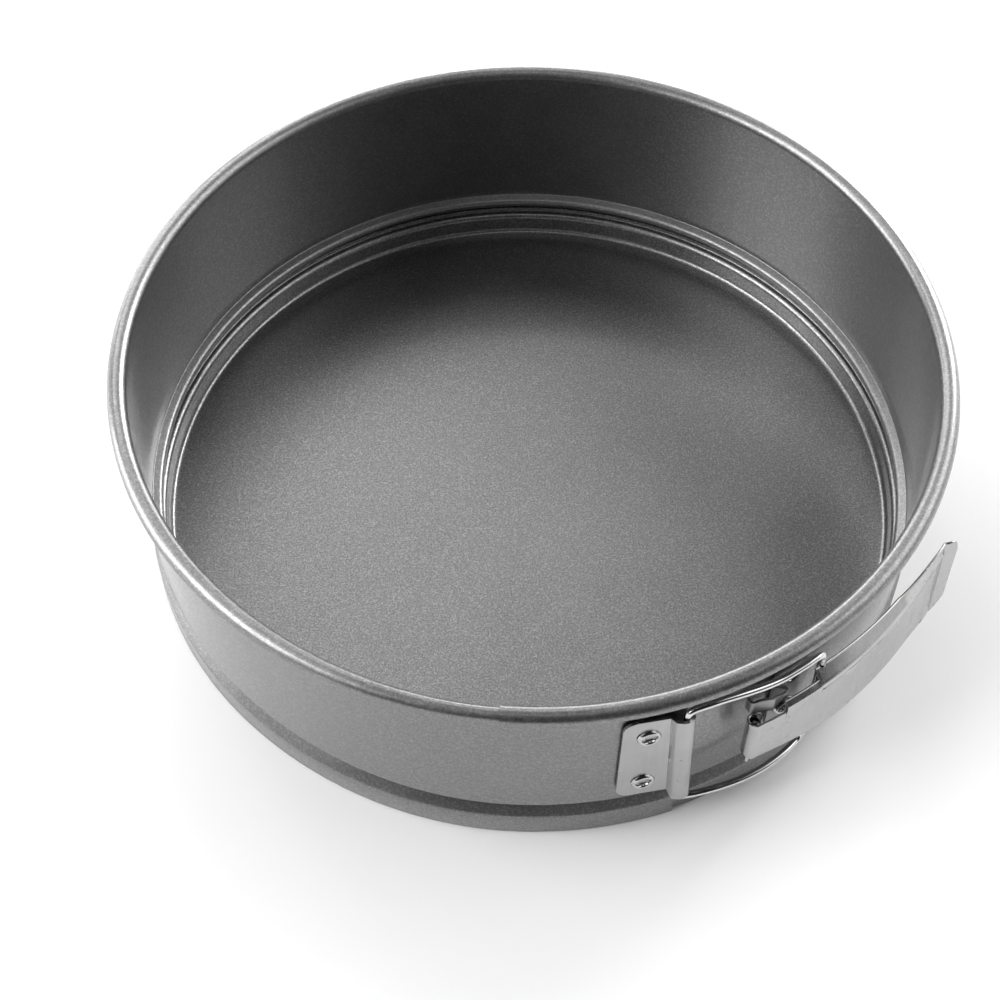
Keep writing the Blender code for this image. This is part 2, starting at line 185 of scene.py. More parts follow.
# The rivet head's raised ring and pressed cup, as (radius, rise) in mm from the plate
RIVET_RING = ((3.05, 0.5), (2.85, 0.75), (2.6, 0.86), (2.35, 0.84), (2.15, 0.62), (2.05, 0.3), (1.95, -0.1))
RIVET_CUP = ((1.8, -0.4), (1.5, -0.58), (1.0, -0.6), (0.6, -0.5), (0.3, -0.44), (0, -0.43))
RIVET_STAND = 0.2 * MM
RIVET_TAIL = 0.6 * MM

# Fineness of the detailed meshes
BAND_STEP = 1.5
BASE_STEPS = 240
ROUND_STEPS = 48
SECTION_POINTS = 28
SHARP_ANGLE = 38
TINY = 0.002 * MM

# Finishes
COAT_LEVEL = 0.2
COAT_ROUGH = 0.44
COAT_GLOSS_ROUGH = 0.15
STRETCH = (900, 900, 40)

# Studio
ROOM_LEVEL = 0.02
LIGHT_DISTANCE = 1.5
FLOOR_SIZE = 6.0
FLOOR_DROP = 0.1 * MM
# Softboxes as (name, azimuth, elevation, size, radiance); azimuth is in degrees from +Y towards +X
SOFTBOXES = (
    ("back_right", 47, 26, 0.7, 13.0),
    ("back_right_wide", 50, 22, 1.2, 1.0),
    ("back_left", -20, 38, 0.7, 4.2),
    ("high_back", 9, 57, 0.4, 1.3),
    ("high_back_left", -3, 52, 0.5, 0.9),
    ("left", -100, 38, 0.8, 7.4),
    ("left_wide", -100, 34, 1.6, 0.7),
    ("low_left", -75, 15, 0.8, 6.8),
    ("high_left", -60, 58, 0.9, 1.5),
    ("right", 90, 38, 0.8, 2.5),
    ("right_wide", 95, 30, 1.6, 0.9),
    ("low_back", 0, 10, 0.7, 6.0),
    ("low_back_left", -34, 10, 0.6, 4.0),
    ("low_back_right", 34, 10, 0.6, 3.0),
    ("overhead", 180, 78, 0.5, 0.9),
)
CAMERA_BEARING = -9.3
CAMERA_ELEVATION = 53.8
CAMERA_DISTANCE = 0.575
CAMERA_ROLL = 2.1
CAMERA_LENS = 66.4
CAMERA_SHIFT = (-0.03, -0.0105)


# ---------------------------------------------------------------- plan and section geometry


def around(bearing, radius):
    """The point (x, y) at a bearing in degrees and a radius."""
    angle = math.radians(bearing)
    return Vector((radius * math.sin(angle), -radius * math.cos(angle)))


def arc(centre, radius, start, end, steps):
    points = []
    for step in range(steps + 1):
        angle = math.radians(start + (end - start) * step / steps)
        points.append(Vector((centre[0] + radius * math.cos(angle), centre[1] + radius * math.sin(angle))))
    return points


def rounded(corners, steps=6):
    """A path through (x, y, bend radius) corners, each corner with a radius replaced by a tangent arc."""
    path = []
    for index, (x, y, bend) in enumerate(corners):
        here = Vector((x, y))
        if bend == 0 or index in (0, len(corners) - 1):
            path.append(here)
            continue
        back = (Vector(corners[index - 1][:2]) - here).normalized()
        ahead = (Vector(corners[index + 1][:2]) - here).normalized()
        half = back.angle(ahead) / 2
        centre = here + (back + ahead).normalized() * (bend / math.sin(half))
        reach = bend / math.tan(half)
        start = here + back * reach - centre
        turn = start.angle_signed(here + ahead * reach - centre)
        for step in range(steps + 1):
            spun = start.copy()
            spun.rotate(Matrix.Rotation(-turn * step / steps, 2))
            path.append(centre + spun)
    return path


def offset(path, distance):
    """The open path moved sideways, to its right for a positive distance."""
    moved = []
    for index, here in enumerate(path):
        before = (here - path[max(index - 1, 0)]).normalized()
        after = (path[min(index + 1, len(path) - 1)] - here).normalized()
        before = before if index > 0 else after
        after = after if index < len(path) - 1 else before
        along = (before + after).normalized()
        across = Vector((along.y, -along.x))
        moved.append(here + across * (distance / max(along.dot(after), 0.2)))
    return moved


def thick(path, thickness, cap=3):
    """The closed outline of a sheet whose middle follows the path, with rounded edges at both ends."""
    half = thickness / 2
    right = offset(path, half)
    left = offset(path, -half)
    if not cap:
        return right + left[::-1]
    return right + cap_points(path[-1], right[-1], cap) + left[::-1] + cap_points(path[0], left[0], cap)


def cap_points(middle, start, steps):
    """Points between the two faces of a sheet, round its end."""
    spoke = start - middle
    points = []
    for step in range(1, steps + 1):
        spun = spoke.copy()
        spun.rotate(Matrix.Rotation(math.pi * step / (steps + 1), 2))
        points.append(middle + spun)
    return points


def between(start, end, steps):
    return [start + (end - start) * step / steps for step in range(steps + 1)]


def smooth_share(value):
    value = min(max(value, 0), 1)
    return value * value * (3 - 2 * value)


# ---------------------------------------------------------------- meshes


def finish(name, mesh, look, crease=SHARP_ANGLE):
    """Links a bmesh as a smooth-shaded object with its faces turned outwards and its sharp edges marked."""
    bmesh.ops.recalc_face_normals(mesh, faces=mesh.faces)
    data = bpy.data.meshes.new(name)
    mesh.to_mesh(data)
    mesh.free()
    data.materials.append(look)
    data.shade_smooth()
    data.set_sharp_from_angle(angle=math.radians(crease))
    made = bpy.data.objects.new(name, data)
    bpy.context.scene.collection.objects.link(made)
    return made


def skin(name, rings, look, closed=False, crease=SHARP_ANGLE):
    """A closed solid through rings of points: a loop of rings if closed, else with a cap at each end."""
    mesh = bmesh.new()
    made = [[mesh.verts.new(point) for point in ring] for ring in rings]
    pairs = list(zip(made, made[1:]))
    if closed:
        pairs.append((made[-1], made[0]))
    for ring, other in pairs:
        for index in range(len(ring)):
            after = (index + 1) % len(ring)
            mesh.faces.new((ring[index], ring[after], other[after], other[index]))
    if not closed:
        mesh.faces.new(made[0])
        mesh.faces.new(made[-1])
    return finish(name, mesh, look, crease)


def sweep(name, sections, bearings, look):
    """A closed solid through (radius, height) outlines stood up at the bearings."""
    rings = []
    for outline, bearing in zip(sections, bearings):
        rings.append([(*around(bearing, radius), height) for radius, height in outline])
    return skin(name, rings, look)


def ribbon(name, path, sections, look, leans=None, middle=0):
    """A closed solid along a plan path, from (offset, height) sections; offsets are to the path's right.

    A lean slides a section along a plan vector, in proportion to the height above the middle.
    """
    rings = []
    for index, (here, moved, section) in enumerate(zip(path, offset(path, 1), sections)):
        lean = leans[index] if leans else Vector((0, 0))
        ring = []
        for out, height in section:
            ring.append((*(here + (moved - here) * out + lean * (height - middle)), height))
        rings.append(ring)
    return skin(name, rings, look)


def turned(name, outline, steps, look, crease=SHARP_ANGLE):
    """A solid of revolution about Z, from a (radius, height) outline that starts and ends on the axis."""
    mesh = bmesh.new()
    rings = []
    for radius, height in outline:
        if radius < 1e-7:
            rings.append([mesh.verts.new((0, 0, height))] * steps)
            continue
        spots = [(*around(360 * step / steps, radius), height) for step in range(steps)]
        rings.append([mesh.verts.new(spot) for spot in spots])
    for ring, other in zip(rings, rings[1:]):
        for index in range(steps):
            after = (index + 1) % steps
            corners = dict.fromkeys((ring[index], ring[after], other[after], other[index]))
            if len(corners) > 2:
                mesh.faces.new(tuple(corners))
    return finish(name, mesh, look, crease)


def tube(name, points, radius, sides, look):
    """A closed loop of round wire through the points."""
    count = len(points)
    rings = []
    normal = Vector((0, 0, 1))
    for index, here in enumerate(points):
        along = (points[(index + 1) % count] - points[index - 1]).normalized()
        normal = (normal - along * normal.dot(along)).normalized()
        if index == 0:
            first = (along.copy(), normal.copy())
        across = along.cross(normal)
        ring = []
        for side in range(sides):
            angle = 2 * math.pi * side / sides
            ring.append(here + (normal * math.cos(angle) + across * math.sin(angle)) * radius)
        rings.append(ring)
    along, start = first
    closing = (normal - along * normal.dot(along)).normalized()
    twist = closing.angle(start) * (1 if closing.cross(start).dot(along) > 0 else -1)
    for index, ring in enumerate(rings):
        along = (points[(index + 1) % count] - points[index - 1]).normalized()
        turn = Matrix.Rotation(twist * index / count, 3, along)
        rings[index] = [points[index] + turn @ (point - points[index]) for point in ring]
    return skin(name, rings, look, closed=True, crease=60)


def soften(made, width, segments=2, angle=40):
    """Rounds the sharp edges of a pressed piece."""
    bevel = made.modifiers.new("Edges", "BEVEL")
    bevel.width = width
    bevel.segments = segments
    bevel.limit_method = "ANGLE"
    bevel.angle_limit = math.radians(angle)
    bevel.use_clamp_overlap = True


def stand_at(made, bearing, radius, height):
    """Turns local Z to point straight out of the wall, with the origin at the given radius."""
    outward = Vector((*around(bearing, 1), 0))
    spin = Vector((0, 0, 1)).rotation_difference(outward).to_matrix().to_4x4()
    made.data.transform(Matrix.Translation(Vector((*around(bearing, radius), height))) @ spin)


def settle(made, body, slot, *nodes):
    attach(made, body)
    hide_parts(*nodes)


# ---------------------------------------------------------------- materials


class Nodes:
    """Short calls for building a node tree."""

    def __init__(self, tree):
        self.tree = tree
        tree.nodes.clear()

    def add(self, kind, inputs=None, **settings):
        node = self.tree.nodes.new(kind)
        for key, value in settings.items():
            setattr(node, key, value)
        for key, value in (inputs or {}).items():
            self.put(node.inputs[key], value)
        return node

    def put(self, socket, value):
        if isinstance(value, bpy.types.NodeSocket):
            self.tree.links.new(value, socket)
        else:
            socket.default_value = value

    def math(self, operation, first, second=0.0, third=0.0):
        node = self.add("ShaderNodeMath", operation=operation)
        for socket, value in zip(node.inputs, (first, second, third)):
            self.put(socket, value)
        return node.outputs[0]

    def ramp(self, value, low, high, to_low, to_high):
        """Maps value from low..high to to_low..to_high, smoothly and clamped."""
        node = self.add("ShaderNodeMapRange", interpolation_type="SMOOTHSTEP")
        for socket, put in zip(node.inputs, (value, low, high, to_low, to_high)):
            self.put(socket, put)
        return node.outputs[0]

    def noise(self, vector, scale, detail=2.0, roughness=0.5):
        inputs = {"Vector": vector, "Scale": scale, "Detail": detail, "Roughness": roughness}
        return self.add("ShaderNodeTexNoise", inputs).outputs["Fac"]

    def grey(self, value):
        node = self.add("ShaderNodeCombineColor")
        for socket in node.inputs[:3]:
            self.put(socket, value)
        return node.outputs[0]

    def mix(self, share, first, second):
        node = self.add("ShaderNodeMix", data_type="RGBA")
        self.put(node.inputs[0], share)
        self.put(node.inputs[6], first)
        self.put(node.inputs[7], second)
        return node.outputs[2]


def new_material(name):
    made = bpy.data.materials.new(name)
    made.use_nodes = True
    return made, Nodes(made.node_tree)


def close(nodes, shader):
    nodes.add("ShaderNodeOutputMaterial", {"Surface": shader.outputs[0]})


def coating(name, level, roughness, gloss, speckle_depth, fineness):
    """Non-stick coating: dark grey with bright flakes, an orange-peel grain and slow patches of wear."""
    made, nodes = new_material(name)
    place = nodes.add("ShaderNodeTexCoord").outputs["Object"]
    grain = nodes.noise(place, fineness, 1.5, 0.55)
    coarse = nodes.noise(place, 900, 2.0, 0.5)
    patches = nodes.noise(place, 22, 3.0, 0.55)
    flakes = nodes.add("ShaderNodeTexVoronoi", {"Vector": place, "Scale": 2100.0, "Randomness": 1.0})
    flake = nodes.add("ShaderNodeSeparateColor", {"Color": flakes.outputs["Color"]}).outputs[0]
    bright = nodes.ramp(flake, 0.55, 1.0, 0.0, 0.34)
    speckle = nodes.ramp(grain, 0.25, 0.75, -speckle_depth, speckle_depth)
    cloud = nodes.ramp(patches, 0.3, 0.7, -0.05, 0.05)
    total = nodes.math("ADD", nodes.math("ADD", speckle, bright), nodes.math("ADD", cloud, 0.92))
    colour = nodes.grey(nodes.math("MULTIPLY", total, level))
    rough = nodes.math("ADD", nodes.ramp(coarse, 0.3, 0.7, -0.05, 0.05), roughness)
    rough = nodes.math("ADD", rough, nodes.ramp(patches, 0.3, 0.7, -0.02, 0.02))
    bump = nodes.add("ShaderNodeBump", {"Strength": 0.12, "Distance": 0.00012, "Height": grain})
    deeper = {"Strength": 0.1, "Distance": 0.0003, "Height": coarse, "Normal": bump.outputs[0]}
    relief = nodes.add("ShaderNodeBump", deeper)
    inputs = {"Base Color": colour, "Roughness": rough, "Metallic": 1.0, "Normal": relief.outputs[0]}
    inputs["Coat Weight"] = gloss
    inputs["Coat Roughness"] = COAT_GLOSS_ROUGH
    close(nodes, nodes.add("ShaderNodeBsdfPrincipled", inputs))
    return made


def plated(name, level, roughness):
    """Bright plated steel: a faint rolling grain, soft ripples, and small scuffs where hands touch it."""
    made, nodes = new_material(name)
    place = nodes.add("ShaderNodeTexCoord").outputs["Object"]
    rolled = nodes.add("ShaderNodeMapping", {"Vector": place, "Scale": STRETCH}).outputs[0]
    lines = nodes.noise(rolled, 1.0, 3.0, 0.6)
    ripple = nodes.noise(place, 120, 2.0, 0.5)
    scuffs = nodes.noise(place, 260, 3.0, 0.55)
    fine_tone = nodes.ramp(lines, 0.3, 0.7, -0.03, 0.03)
    slow_tone = nodes.ramp(ripple, 0.3, 0.7, 0.97, 1.03)
    tone = nodes.math("ADD", fine_tone, slow_tone)
    colour = nodes.grey(nodes.math("MULTIPLY", tone, level))
    rough = nodes.math("ADD", nodes.ramp(scuffs, 0.4, 0.8, -0.02, 0.07), roughness)
    fine = nodes.add("ShaderNodeBump", {"Strength": 0.03, "Distance": 0.00004, "Height": lines})
    wavy = {"Strength": 0.12, "Distance": 0.0004, "Height": ripple, "Normal": fine.outputs[0]}
    relief = nodes.add("ShaderNodeBump", wavy)
    inputs = {"Base Color": colour, "Roughness": rough, "Metallic": 1.0, "Normal": relief.outputs[0]}
    close(nodes, nodes.add("ShaderNodeBsdfPrincipled", inputs))
    return made


def floor_material():
    made, nodes = new_material("studio_floor")
    place = nodes.add("ShaderNodeTexCoord").outputs["Object"]
    tone = nodes.ramp(nodes.noise(place, 3.0, 2.0), 0.3, 0.7, 0.82, 0.84)
    inputs = {"Base Color": nodes.grey(tone), "Roughness": 0.8, "Specular IOR Level": 0.1}
    close(nodes, nodes.add("ShaderNodeBsdfPrincipled", inputs))
    return made


# ---------------------------------------------------------------- band and base


def band_centre_line():
    """(radius, height) points from the skirt's lower edge up to the end of the rim's curl."""
    tip_x = BEAD_RADIUS + BEAD_BEND
    wall = (WALL_RADIUS, WALL_BOTTOM)
    run = Vector((wall[0] - tip_x, wall[1] - BEAD_HEIGHT))
    tangent = math.degrees(math.atan2(run.y, run.x) + math.acos(BEAD_BEND / run.length))
    tip = arc((tip_x, BEAD_HEIGHT), BEAD_BEND, 270, tangent, 12)
    skirt = [(SKIRT_RADIUS, SKIRT_BOTTOM, 0), (SKIRT_RADIUS, SKIRT_TOP, CORNER_BEND), (*tip[0], 0)]
    below = rounded(skirt, 5)
    rim_centre = (WALL_RADIUS + RIM_TUBE, RIM_TOP - RIM_TUBE - SHEET / 2)
    curl = arc(rim_centre, RIM_TUBE, 180, RIM_CURL_END, RIM_STEPS)
    join = (WALL_RADIUS, RIM_JOIN, 0)
    above = rounded([(*tip[-1], 0), (*wall, CORNER_BEND), join, (*curl[0], 0)], 8)
    return below[:-1] + tip[:-1] + above[:-1] + curl


def layer_at(bearing):
    """How far the left piece is set out: fully in the overlap, fading to nothing further left."""
    return LAYER * smooth_share((bearing + OVERLAP_HALF + LAYER_FADE) / LAYER_FADE)


def left_line(line, bearing):
    """The left piece's line: its wall is set out, and its rim nests inside the right piece's rim."""
    out = layer_at(bearing)
    nest = RIM_NEST * out / LAYER + (LAYER - RIM_NEST) * smooth_share(bearing + OVERLAP_HALF)
    return offset(line, out)[: -RIM_STEPS - 1] + offset(line, nest)[-RIM_STEPS - 1 :]


def seam_bearings(start, end):
    """Bearings from the rear seam to the overlap end, with short steps beside the seam for even shading."""
    sign = 1 if end > start else -1
    lead = [start, start + sign * 0.1, start + sign * 0.4, start + sign * 1.0]
    count = round(abs(end - lead[-1]) / BAND_STEP)
    return lead + between(lead[-1], end, count)[1:]


def band(look):
    line = band_centre_line()
    close_by = between(-OVERLAP_HALF, 1.0 - OVERLAP_HALF, 4)
    bearings = sorted(seam_bearings(-180, OVERLAP_HALF) + close_by)
    sections = [thick(left_line(line, bearing), SHEET) for bearing in bearings]
    left = sweep("band_left_half", sections, bearings, look)
    bearings = seam_bearings(180, -OVERLAP_HALF)
    right = sweep("band_right_half", [thick(line, SHEET)] * len(bearings), bearings, look)
    for made, body, side in ((left, "ring_left", -FLEX_RADIUS), (right, "ring_right", FLEX_RADIUS)):
        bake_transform(made)
    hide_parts("band_left", "band_rear")
    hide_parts("band_right")


def base_plate(look):
    middle = BASE_SHEET / 2
    rim = FLANGE_RADIUS + FLANGE_BEND / 2
    corners = [
        (0, middle, 0),
        (FLOOR_RADIUS, middle, FLOOR_BEND),
        (SHOULDER_RADIUS, middle + SHOULDER_RISE, SHOULDER_BEND),
        (rim, middle + SHOULDER_RISE, FLANGE_BEND),
        (rim, middle + SHOULDER_RISE + FLANGE_LIP, 0),
    ]
    path = rounded(corners, 8)
    right = offset(path, BASE_SHEET / 2)
    left = offset(path, -BASE_SHEET / 2)
    outline = right + cap_points(path[-1], right[-1], 3) + left[::-1]
    made = turned("base_plate_pressed", outline, BASE_STEPS, look)
    settle(made, "base", "coated_base", "base_plate")


# ---------------------------------------------------------------- latch


def catch_bracket(look):
    """The plate riveted to the left end, and the folded knuckle that the bail turns in."""
    start = around(CATCH_START, PLATE_RADIUS)
    end = around(CATCH_CORNER, PLATE_END_RADIUS)
    along = (end - start).normalized()
    turns = between(0, 90, 18)
    path = [start + along * (CATCH_ROUND * (1 - math.cos(math.radians(turn))) + TINY) for turn in turns]
    path += [path[-1].lerp(end, share) for share in between(0.05, 1, 8)]
    plate_points = len(path)
    path += rounded([(*path[-1], 0), *folds(KNUCKLE_CORNERS)], 8)[1:]
    leans = []
    for index in range(len(path)):
        share = (index - plate_points + SLANT_STATIONS) / SLANT_STATIONS
        leans.append(along * (-KNUCKLE_SLANT * smooth_share(share)))
    sections = []
    for index in range(len(path)):
        turn = math.radians(turns[min(index, len(turns) - 1)])
        inset = CATCH_ROUND * (1 - math.sin(turn))
        bottom = PLATE_BOTTOM if index < plate_points else CATCH_BOTTOM
        sections.append(upright(bottom + inset, CATCH_TOP - inset))
    made = ribbon("catch_bracket_pressed", path, sections, look, leans, LATCH_MIDDLE)
    soften(made, 0.14 * MM)
    settle(made, "ring_left", "plated_bracket", "catch_bracket")


def folds(corners):
    """Corners of (bearing, radius in mm, bend in mm) as (x, y, bend) in metres."""
    return [(*around(bearing, radius * MM), bend * MM) for bearing, radius, bend in corners]


def upright(bottom, top, pieces=1):
    """The section of a plain sheet standing between two heights."""
    half = LATCH_SHEET / 2
    heights = between(bottom, top, pieces)
    return [(half, height) for height in heights] + [(-half, height) for height in heights[::-1]]


def rivet(name, bearing, height, face, inside, tail, body, look, node):
    """A dimpled rivet: a head with a raised ring round a pressed cup, a shank, and its inner end."""
    reach = inside - face
    end = reach - 0.1 * MM
    outline = [(0, end), (RIVET_SHANK * 0.8, end), (RIVET_SHANK, reach + 0.2 * MM)]
    if tail:
        flat = reach - 0.02 * MM
        low = flat - tail
        outline = [(0, low), (RIVET_HEAD * 0.75, low), (RIVET_HEAD * 0.9, flat - tail * 0.6)]
        outline += [(RIVET_HEAD * 0.9, flat), (RIVET_SHANK, flat)]
    outline += [(RIVET_SHANK, 0.04 * MM), (RIVET_HEAD + 0.2 * MM, 0.04 * MM)]
    outline += [(RIVET_HEAD + 0.12 * MM, 0.2 * MM)]
    outline += [(radius * MM, rise * MM) for radius, rise in RIVET_RING + RIVET_CUP]
    made = turned(name, outline, ROUND_STEPS, look, 50)
    stand_at(made, bearing, face, height)
    settle(made, body, "rivet_steel", node)


def rivets(look):
    wall = WALL_RADIUS + LAYER
    face = PLATE_RADIUS + LATCH_SHEET / 2 + RIVET_STAND
    for name, height in (("lower", RIVET_LOW), ("upper", RIVET_HIGH)):
        node = f"catch_rivet_{name}"
        place = (CATCH_RIVET_BEARING, height, face, wall - SHEET / 2)
        rivet(f"{node}_dimpled", *place, 0, "ring_left", look, node)
    face = WALL_RADIUS + SHEET / 2 + CLEARANCE + LATCH_SHEET
    inside = WALL_RADIUS - SHEET / 2
    for name, height in (("lower", HINGE_RIVET_LOW), ("upper", RIVET_HIGH)):
        node = f"hinge_rivet_{name}"
        place = (HINGE_RIVET_BEARING, height, face, inside)
        rivet(f"{node}_dimpled", *place, RIVET_TAIL, "ring_right", look, node)


def pin_centre():
    return around(PIN_BEARING, PIN_RADIAL)


def hinge_bracket(look):
    """The plate riveted to the right piece, and its folded ear, which ends above the pin and clear of it."""
    plate = WALL_RADIUS + SHEET / 2 + CLEARANCE + LATCH_SHEET / 2
    flat = [around(bearing, plate) for bearing in between(HINGE_END, HINGE_START + PLATE_CORNER, 8)]
    made = ribbon("hinge_plate", flat, [upright(HINGE_BOTTOM, HINGE_TOP)] * len(flat), look)
    soften(made, 0.14 * MM)
    settle(made, "ring_right", "plated_bracket", "hinge_bracket")
    ear = ribbon("hinge_ear", *ear_stations(flat[-1]), look)
    soften(ear, 0.14 * MM)
    settle(ear, "ring_right", "plated_bracket", "hinge_bracket")


def ear_stations(start):
    """The ear's plan path in steps of a millimetre, and its section at every step, lower at both ends."""
    bends = rounded([(*start, 0), *folds(EAR_CORNERS)], 6)
    path = []
    for point, after in zip(bends, bends[1:]):
        steps = max(1, math.ceil((after - point).length / MM))
        path += [point.lerp(after, step / steps) for step in range(steps)]
    path.append(bends[-1])
    sections = []
    for point in path:
        bearing = math.degrees(math.atan2(point.x, -point.y))
        away = smooth_share((bearing - 22.8) / 3.0)
        back = smooth_share((21.0 - bearing) / 0.8)
        sections.append(upright(EAR_BOTTOM, EAR_TOP - EAR_DROP * away - EAR_BACK_DROP * back, 2))
    return path, sections


def hinge_pin(look):
    """The pin, with a thinner tail below the lever. Its top ends inside the lever's curl."""
    outline = [(0, PIN_TAIL), (PIN_TAIL_RADIUS - PIN_TAIL_CHAMFER, PIN_TAIL)]
    outline += [(PIN_TAIL_RADIUS, PIN_TAIL + PIN_TAIL_CHAMFER), (PIN_TAIL_RADIUS, PIN_BOTTOM)]
    outline += [(PIN_RADIUS, PIN_BOTTOM), (PIN_RADIUS, PIN_TOP - PIN_CHAMFER)]
    outline += [(PIN_RADIUS * 0.8, PIN_TOP), (0, PIN_TOP)]
    made = turned("hinge_pin_turned", outline, ROUND_STEPS, look)
    made.data.transform(Matrix.Translation(Vector((*pin_centre(), 0))))
    settle(made, "ring_right", "rivet_steel", "hinge_pin")


def lever_share(bearing):
    return min(max((bearing - PIN_BEARING) / (LEVER_FOLD - PIN_BEARING), 0), 1)


def lever_front(bearing):
    """Radius of the lever's middle surface at its crease: the lever flares out slowly from the wall."""
    share = lever_share(bearing)
    return PIN_RADIAL + CURL_RADIUS + LEVER_FLARE * share + LEVER_END_FLARE * share**6


def lever_lean(bearing):
    """How much further out the lever's foot stands than its crease."""
    share = lever_share(bearing)
    return LEVER_LEAN * smooth_share(share / 0.4) + LEVER_END_LEAN * smooth_share((share - 0.8) / 0.2)


def flange_inner(bearing):
    """Radius of the upper flange's inner edge, which swings out to the front face near the lever's end."""
    first = min((bearing - HOOK_BEARING) / (FLANGE_TURN - HOOK_BEARING), 1)
    second = min(max((bearing - FLANGE_TURN) / (LEVER_FOLD - FLANGE_TURN), 0), 1)
    radius = FLANGE_INNER + (FLANGE_INNER_MIDDLE - FLANGE_INNER) * first
    return radius + (FLANGE_INNER_END - FLANGE_INNER_MIDDLE) * second**0.9


def lever(look):
    """A pressed lever, from stations along its plan path with the same number of section points each."""
    stations, along = lever_stations()
    sections = [lever_ring(bearing, kind) for _, bearing, kind in stations]
    leans = []
    for _, bearing, _ in stations:
        share = (bearing - LEAN_START) / (LEVER_FOLD - LEAN_START)
        leans.append(along * (FOLD_SLANT * smooth_share(share)))
    made = ribbon("lever_pressed", [point for point, _, _ in stations], sections, look, leans, LEVER_MIDDLE)
    cut_notches(made, look)
    soften(made, 0.12 * MM, 2, 50)
    settle(made, "lever", "plated_lever", "latch_lever")


def lever_stations():
    """Stations of (point, bearing, kind) from the curl to the tab's end, and the direction at the fold."""
    outward = PIN_BEARING - 90
    curl = arc(pin_centre(), CURL_RADIUS, outward - CURL_TURN, outward, 40)
    backs = between(CURL_TURN / 90, 0, 40)
    stations = [(point, PIN_BEARING - back, "curl") for point, back in zip(curl, backs)]
    for bearing in between(PIN_BEARING + 0.4, LEVER_STEP, 6):
        stations.append((around(bearing, lever_front(bearing)), bearing, "curl"))
    for bearing in between(LEVER_STEP + 0.12, LEVER_HORN, 8):
        stations.append((around(bearing, lever_front(bearing)), bearing, "fold"))
    for bearing in between(LEVER_HORN + 0.1, LEVER_FOLD, 64):
        stations.append((around(bearing, lever_front(bearing)), bearing, "wing"))
    fold = stations[-1][0]
    along = (fold - stations[-2][0]).normalized()
    turned_out = along.copy()
    turned_out.rotate(Matrix.Rotation(-math.radians(TAB_TURN), 2))
    for share in (0.08, 0.2, 0.35, 0.5, 0.62, 0.72, 0.8, 0.87, 0.93, 0.97, 1):
        swung = along.lerp(turned_out, smooth_share(share / 0.3)).normalized()
        stations.append((fold + swung * (TAB_LENGTH * share), LEVER_FOLD + share, "tab"))
    return stations, along


def lever_ring(bearing, kind):
    """The outline of one section, round a middle line of (offset, height) points from bottom to top."""
    foot = LEVER_BOTTOM + LATCH_SHEET / 2
    if kind == "curl":
        crease = LEVER_CREASE + LEVER_CREASE_RISE * lever_share(bearing)
        corner = 1.8 * MM * smooth_share(PIN_BEARING - bearing)
        heights = between(LEVER_BOTTOM + corner, LEVER_LOW_TOP, SECTION_POINTS - 1)
        lean = lever_lean(bearing)
        path = [Vector((lean * (crease - height) / (crease - foot), height)) for height in heights]
        return thick(path, LATCH_SHEET)
    return thick(lever_line(bearing, kind, foot), LATCH_SHEET)


def lever_line(bearing, kind, foot):
    """The middle line with both flanges: lower flange, grooved front, rounded crease, upper flange."""
    share = lever_share(bearing)
    crease = LEVER_CREASE + LEVER_CREASE_RISE * share
    lean = lever_lean(bearing)
    beyond = max(bearing - LEVER_FOLD, 0) if kind == "tab" else 0
    fading = smooth_share((bearing - FLANGE_FADE) / 3.5)
    width = FOLD_WIDTH if kind == "fold" else max(lever_front(bearing) - flange_inner(bearing), CLEARANCE)
    top = crease + min(width, LEVER_TOP - crease) if kind == "fold" else LEVER_TOP
    flange = LOW_FLANGE * (1 - fading) + THIN_FLANGE
    bottom = foot - (LATCH_SHEET / 2) * fading
    bottom += TAB_CUT * max(0, (beyond - 0.25) / 0.75) ** 1.2
    top -= TAB_ROUND * (1 - math.sqrt(max(0, 1 - max(0, (beyond - 0.5) / 0.5) ** 2)))
    outer = lean * (crease - bottom) / (crease - foot)
    path = [Vector((outer - flange, bottom)), Vector((outer - flange / 2, bottom)), Vector((outer, bottom))]
    low = bottom + 0.3 * MM
    path += [Vector((0, low + (crease - 3.3 * MM - bottom) * step)) for step in between(0, 1, 6)]
    path += [Vector((0, crease + (step - 3) * MM)) for step in between(0.3, 2.7, 10)]
    steps = (0.08, 0.25, 0.45, 0.65, 0.82, 0.93, 1)
    path += [Vector((-width * step, crease + (top - crease) * step)) for step in steps]
    half = (0.5 + 0.45 * share) * MM
    middle = crease - 0.5 * MM - half
    depth = GROOVE_DEPTH * (1 - smooth_share((bearing - GROOVE_END) / 0.9)) if kind == "wing" else 0
    raised = RAISED_END * smooth_share((bearing - 51.2) / 1.1) if kind == "wing" else 0
    for point in path[3:21]:
        point.x = lean * (crease - point.y) / (crease - foot)
        point.x += raised - depth * (1 - smooth_share(abs(point.y - middle) / half))
    return path


